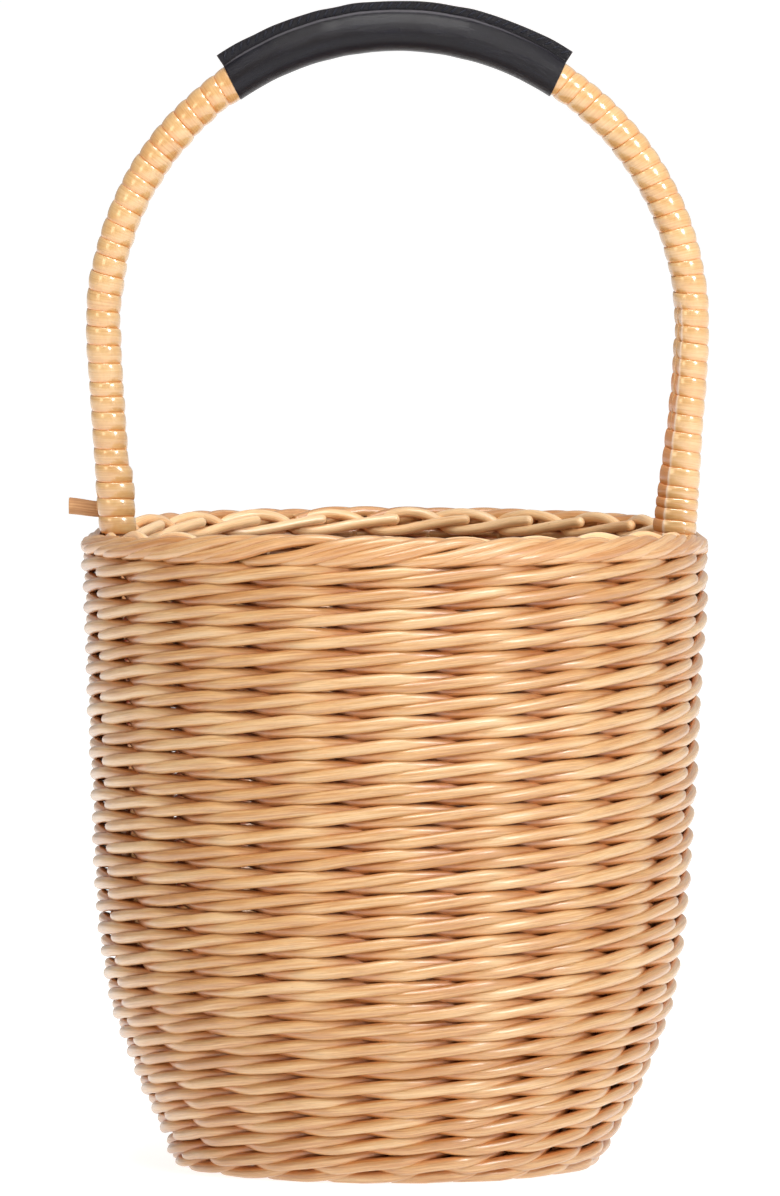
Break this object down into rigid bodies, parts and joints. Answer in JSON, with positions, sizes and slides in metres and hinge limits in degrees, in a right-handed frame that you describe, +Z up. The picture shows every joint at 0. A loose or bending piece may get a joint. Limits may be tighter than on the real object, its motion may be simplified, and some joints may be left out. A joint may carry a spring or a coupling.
{
  "type": "wicker bucket bag",
  "caption": "Round tapered wicker bucket bag in waled willow with a plaited border, a fixed lapped bow handle and a stitched dark leather sleeve at its crown.",
  "frame": {"origin": "centre of the bag's base at floor level, on the bag's upright axis", "axes": "+Z up along the bag's axis; the bow handle stands in the XZ plane; -Y is the front"},
  "size_m": [0.2374, 0.2308, 0.4311],
  "materials": {
    "willow": "buff peeled willow rod, honey coloured, lightly varnished, fine grain along the rod",
    "willow_stakes": "buff peeled willow, a little darker, matt",
    "cane_core": "brown cane with grain along it, cut ends",
    "peel_lapping": "flat cane peel, glossy clear varnish",
    "sleeve_leather": "very dark navy smooth calf leather, satin",
    "sleeve_thread": "waxed dark navy thread"
  },
  "bodies": {
    "root": {"base_sticks_slit": "willow_stakes", "base_sticks_through": "willow_stakes", "base_pairing_inner": "willow", "base_pairing_outer": "willow", "side_stakes": "willow_stakes", "wale_row_01": "willow", "wale_row_02": "willow", "wale_row_03": "willow", "wale_row_04": "willow", "wale_row_05": "willow", "wale_row_06": "willow", "wale_row_07": "willow", "wale_row_08": "willow", "wale_row_09": "willow", "wale_row_10": "willow", "wale_row_11": "willow", "wale_row_12": "willow", "wale_row_13": "willow", "wale_row_14": "willow", "wale_row_15": "willow", "wale_row_16": "willow", "wale_row_17": "willow", "wale_row_18": "willow", "wale_row_19": "willow", "wale_row_20": "willow", "wale_row_21": "willow", "wale_row_22": "willow", "wale_row_23": "willow", "wale_row_24": "willow", "wale_row_25": "willow", "wale_row_26": "willow", "wale_row_27": "willow", "wale_row_28": "willow", "wale_row_29": "willow", "wale_row_30": "willow", "border_outer_strand": "willow", "border_inner_plait": "willow", "border_top_strand": "willow", "handle_core": "cane_core", "handle_liner": "peel_lapping", "handle_lapping_left": "peel_lapping", "handle_lapping_right": "peel_lapping", "handle_lapping_crown": "peel_lapping", "handle_peg": "cane_core", "grip_sleeve": "sleeve_leather", "grip_stitches": "sleeve_thread"}
  },
  "joints": []
}
